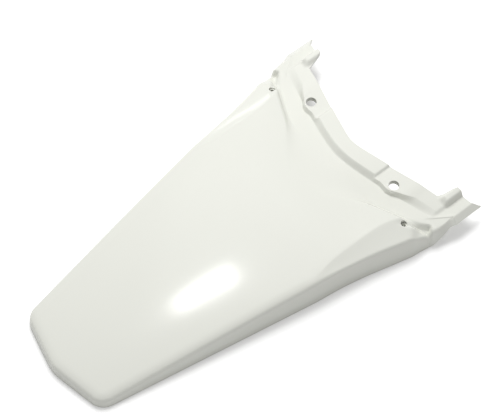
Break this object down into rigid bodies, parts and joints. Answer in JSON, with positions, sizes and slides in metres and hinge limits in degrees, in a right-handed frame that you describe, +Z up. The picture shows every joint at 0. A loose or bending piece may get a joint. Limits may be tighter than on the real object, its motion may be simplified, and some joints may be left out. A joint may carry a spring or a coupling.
{
  "type": "motorcycle tail fairing",
  "caption": "Moulded tail fairing that covers a motorcycle's rear wheel behind the seat, with side scallops, two raised ears and a stepped bolting flange at its front.",
  "frame": {"origin": "midway between the two bolt holes of the front flange, on the flat pads that the bolt heads press on", "axes": "+X forward, towards the motorcycle's front; +Y to its left; +Z up, out of the bolt holes"},
  "size_m": [0.5099, 0.3094, 0.047],
  "materials": {
    "fairing": "glossy off-white, coloured through"
  },
  "bodies": {
    "root": {"tail_fairing": "fairing"}
  },
  "joints": []
}
